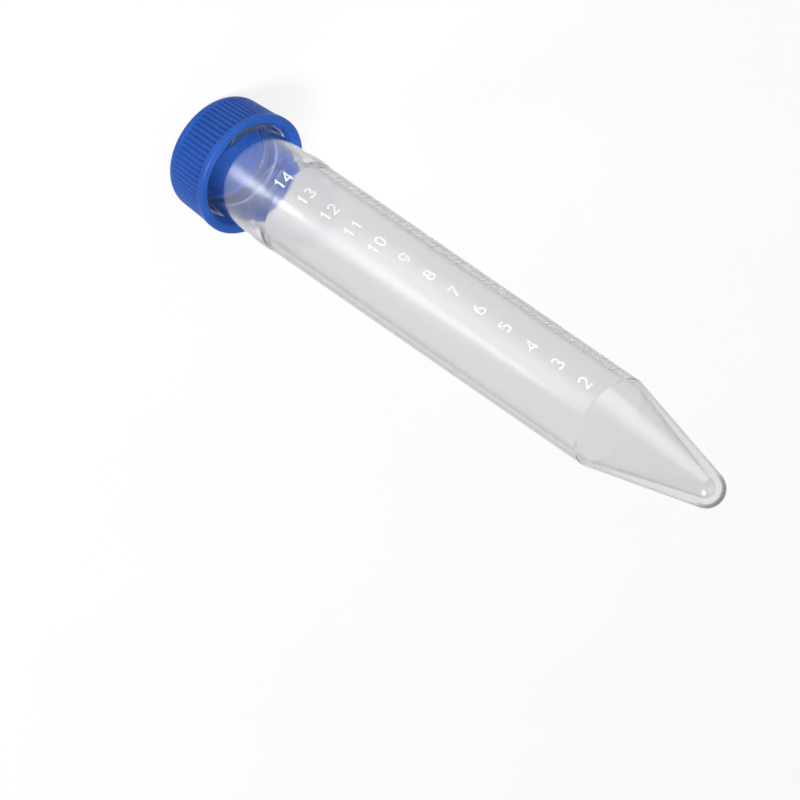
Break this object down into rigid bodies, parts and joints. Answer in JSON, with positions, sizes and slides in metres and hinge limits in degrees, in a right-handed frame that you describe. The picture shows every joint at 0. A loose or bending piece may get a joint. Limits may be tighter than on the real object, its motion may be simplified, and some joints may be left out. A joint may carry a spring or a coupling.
{
  "type": "15 ml conical tube",
  "caption": "Clear 15 ml conical centrifuge tube with a ribbed blue screw cap, standing head down on its cap, with a lift-off joint.",
  "frame": {"origin": "centre of the cap's rim, on the surface that the tube stands on head down", "axes": "+Z along the tube's axis, from the cap to the tip"},
  "size_m": [0.0222, 0.0222, 0.12],
  "materials": {
    "cap_plastic": "satin moulded polyethylene",
    "clear_plastic": "clear polished polystyrene"
  },
  "bodies": {
    "cap": {"cap": "cap_plastic"},
    "tube": {"tube": "clear_plastic"}
  },
  "joints": [
    {"name": "unscrew_lift", "type": "slide", "parent": "cap", "child": "tube", "axis": [0, 0, 1], "range_m": [0, 0.03]}
  ]
}
